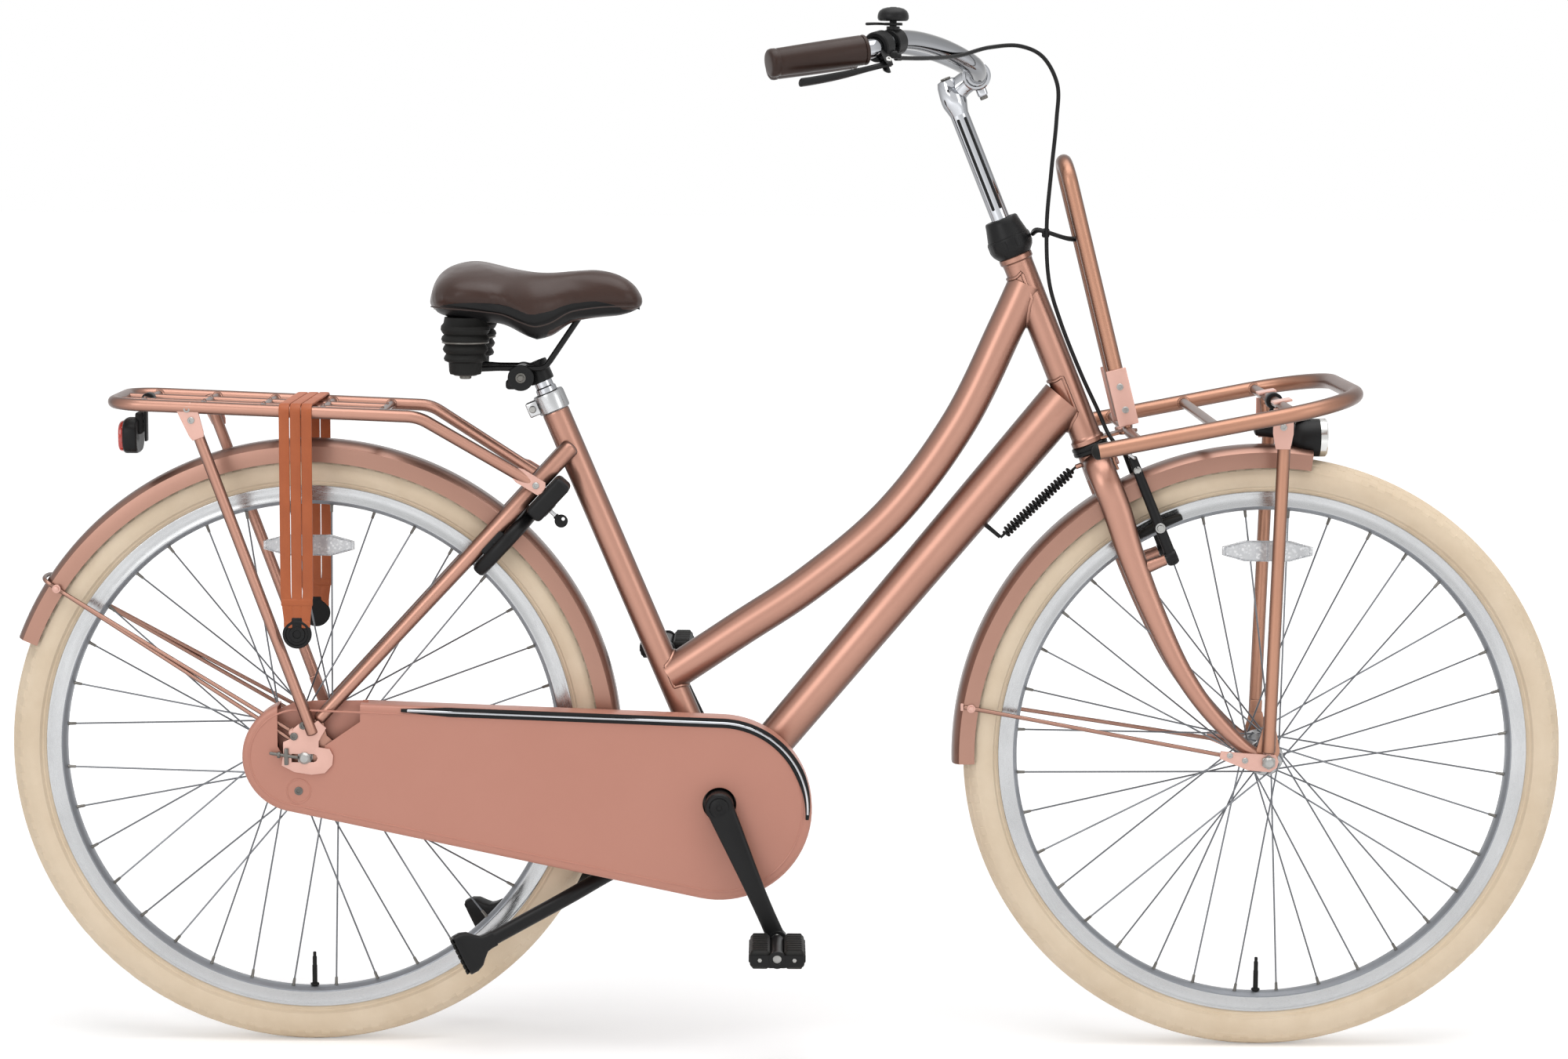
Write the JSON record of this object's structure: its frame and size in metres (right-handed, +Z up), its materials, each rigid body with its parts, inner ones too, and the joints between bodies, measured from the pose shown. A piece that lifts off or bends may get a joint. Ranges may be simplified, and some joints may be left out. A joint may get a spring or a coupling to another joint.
{
  "type": "city bicycle",
  "caption": "City bicycle with a low curved top tube, closed chaincase, front and rear luggage carriers, mudguards, lamps, ring lock and folded two-legged stand.",
  "frame": {"origin": "on the ground midway between the two wheel axles", "axes": "+X forward to the front wheel, +Y to the rider's left, +Z up"},
  "size_m": [1.8516, 0.6253, 1.2341],
  "materials": {
    "frame_paint": "rose copper metallic, satin",
    "carrier_paint": "copper metallic, satin",
    "chaincase_plastic": "flat salmon",
    "tyre_rubber": "cream rubber, fine herringbone at the tread edge",
    "rim_aluminium": "silver, polished braking band",
    "bright_aluminium": "silver, satin",
    "chrome": "polished",
    "steel": "zinc grey",
    "black_metal": "black, satin",
    "black_plastic": "black, matt",
    "brown_cover": "dark brown, soft sheen",
    "strap_rubber": "rust brown, satin",
    "reflector_plastic": "clear grey",
    "red_lens": "red, glossy",
    "pedal_rubber": "black, matt"
  },
  "bodies": {
    "frame": {"head_tube": "frame_paint", "top_tube": "frame_paint", "down_tube": "frame_paint", "seat_tube": "frame_paint", "chain_stays": "frame_paint", "seat_stays": "frame_paint", "seat_clamp": "bright_aluminium", "rear_mudguard": "frame_paint", "rear_mudguard_stays": "frame_paint", "rear_carrier": "carrier_paint", "rear_light": "red_lens", "luggage_strap": "strap_rubber", "chaincase": "chaincase_plastic", "chaincase_trim": "black_plastic", "ring_lock_body": "black_metal", "rear_axle": "steel", "chain": "steel", "steering_spring": "steel"},
    "seat": {"seat_post": "chrome", "saddle_frame": "black_metal", "saddle_cover": "brown_cover"},
    "steering": {"fork": "frame_paint", "headset_cover": "black_metal", "stem": "chrome", "handlebar": "bright_aluminium", "grip_left": "brown_cover", "grip_right": "brown_cover", "brake_lever_bracket": "black_plastic", "bell": "black_metal", "brake_cable": "black_plastic", "front_mudguard": "frame_paint", "front_carrier": "carrier_paint", "carrier_hoop": "carrier_paint", "headlight": "black_plastic", "front_axle": "steel"},
    "front_wheel": {"front_tyre": "tyre_rubber", "front_rim": "rim_aluminium", "front_hub": "bright_aluminium", "front_spokes_left": "steel", "front_spokes_right": "steel", "front_reflector": "reflector_plastic"},
    "rear_wheel": {"rear_tyre": "tyre_rubber", "rear_rim": "rim_aluminium", "rear_hub": "bright_aluminium", "rear_spokes_left": "steel", "rear_spokes_right": "steel", "rear_reflector": "reflector_plastic"},
    "cranks": {"crank_spindle": "steel", "right_crank": "black_metal", "left_crank": "black_metal"},
    "rear_sprocket": {"rear_sprocket": "steel"},
    "right_pedal": {"right_pedal": "pedal_rubber"},
    "left_pedal": {"left_pedal": "pedal_rubber"},
    "brake_lever": {"brake_lever": "black_metal"},
    "brake_arm_right": {"brake_arm_right": "black_metal"},
    "brake_arm_left": {"brake_arm_left": "black_metal"},
    "kickstand": {"kickstand": "black_metal"},
    "lock_shackle": {"lock_shackle": "steel"},
    "lock_key": {"lock_key": "steel"},
    "bell_lever": {"bell_lever": "black_plastic"}
  },
  "joints": [
    {"name": "steering_turn", "type": "hinge", "parent": "frame", "child": "steering", "pos_m": [0.35605, 0, 0.72981], "axis": [-0.3795, 0, 0.9252], "range_deg": [-45, 45], "stiffness_Nm_per_rad": 1.5, "deforming": ["steering_spring"]},
    {"name": "seat_height", "type": "slide", "parent": "frame", "child": "seat", "axis": [-0.3955, 0, 0.9184], "range_m": [-0.012, 0.1]},
    {"name": "front_wheel_spin", "type": "hinge", "parent": "steering", "child": "front_wheel", "pos_m": [0.5695, 0, 0.358], "axis": [0, 1, 0], "continuous": true},
    {"name": "rear_wheel_spin", "type": "hinge", "parent": "frame", "child": "rear_wheel", "pos_m": [-0.5695, 0, 0.358], "axis": [0, 1, 0], "continuous": true},
    {"name": "crank_turn", "type": "hinge", "parent": "frame", "child": "cranks", "pos_m": [-0.08, 0, 0.305], "axis": [0, 1, 0], "continuous": true},
    {"name": "rear_sprocket_turn", "type": "hinge", "parent": "frame", "child": "rear_sprocket", "pos_m": [-0.5695, 0, 0.358], "axis": [0, 1, 0], "continuous": true},
    {"name": "right_pedal_turn", "type": "hinge", "parent": "cranks", "child": "right_pedal", "pos_m": [-0.01086, -0.162, 0.1497], "axis": [0, 1, 0], "continuous": true},
    {"name": "left_pedal_turn", "type": "hinge", "parent": "cranks", "child": "left_pedal", "pos_m": [-0.14914, 0.162, 0.4603], "axis": [0, 1, 0], "continuous": true},
    {"name": "brake_lever_pull", "type": "hinge", "parent": "steering", "child": "brake_lever", "pos_m": [0.10348, -0.25732, 1.17245], "axis": [-0.1711, 0.7481, -0.6412], "range_deg": [0, 5.8], "stiffness_Nm_per_rad": 0.6, "springref_deg": -5.73},
    {"name": "brake_arm_right_swing", "type": "hinge", "parent": "steering", "child": "brake_arm_right", "pos_m": [0.45269, -0.04, 0.59867], "axis": [-0.9252, 0, -0.3795], "range_deg": [0, 1.9]},
    {"name": "brake_arm_left_swing", "type": "hinge", "parent": "steering", "child": "brake_arm_left", "pos_m": [0.45269, 0.04, 0.59867], "axis": [0.9252, 0, 0.3795], "range_deg": [0, 1.9]},
    {"name": "kickstand_swing", "type": "hinge", "parent": "frame", "child": "kickstand", "pos_m": [-0.154, 0, 0.238], "axis": [0, -1, 0], "range_deg": [0, 78], "stiffness_Nm_per_rad": 1.2, "springref_deg": -91.67},
    {"name": "lock_shackle_close", "type": "hinge", "parent": "frame", "child": "lock_shackle", "pos_m": [-0.34119, 0, 0.60452], "axis": [-0.7337, 0, 0.6795], "range_deg": [0, 100], "stiffness_Nm_per_rad": 0.03, "springref_deg": -22.92},
    {"name": "lock_key_turn", "type": "hinge", "parent": "frame", "child": "lock_key", "pos_m": [-0.28182, -0.041, 0.64949], "axis": [-0.7337, 0, 0.6795], "range_deg": [0, 90]},
    {"name": "bell_lever_push", "type": "hinge", "parent": "steering", "child": "bell_lever", "pos_m": [0.11092, -0.21981, 1.21383], "axis": [0, 0, 1], "range_deg": [0, 25], "stiffness_Nm_per_rad": 0.02, "springref_deg": -11.46}
  ],
  "couplings": [
    {"joint": "rear_sprocket_turn", "follows": "crank_turn", "ratio": 2.375},
    {"joint": "brake_arm_right_swing", "follows": "brake_lever_pull", "ratio": 0.3166},
    {"joint": "brake_arm_left_swing", "follows": "brake_lever_pull", "ratio": 0.3166}
  ]
}
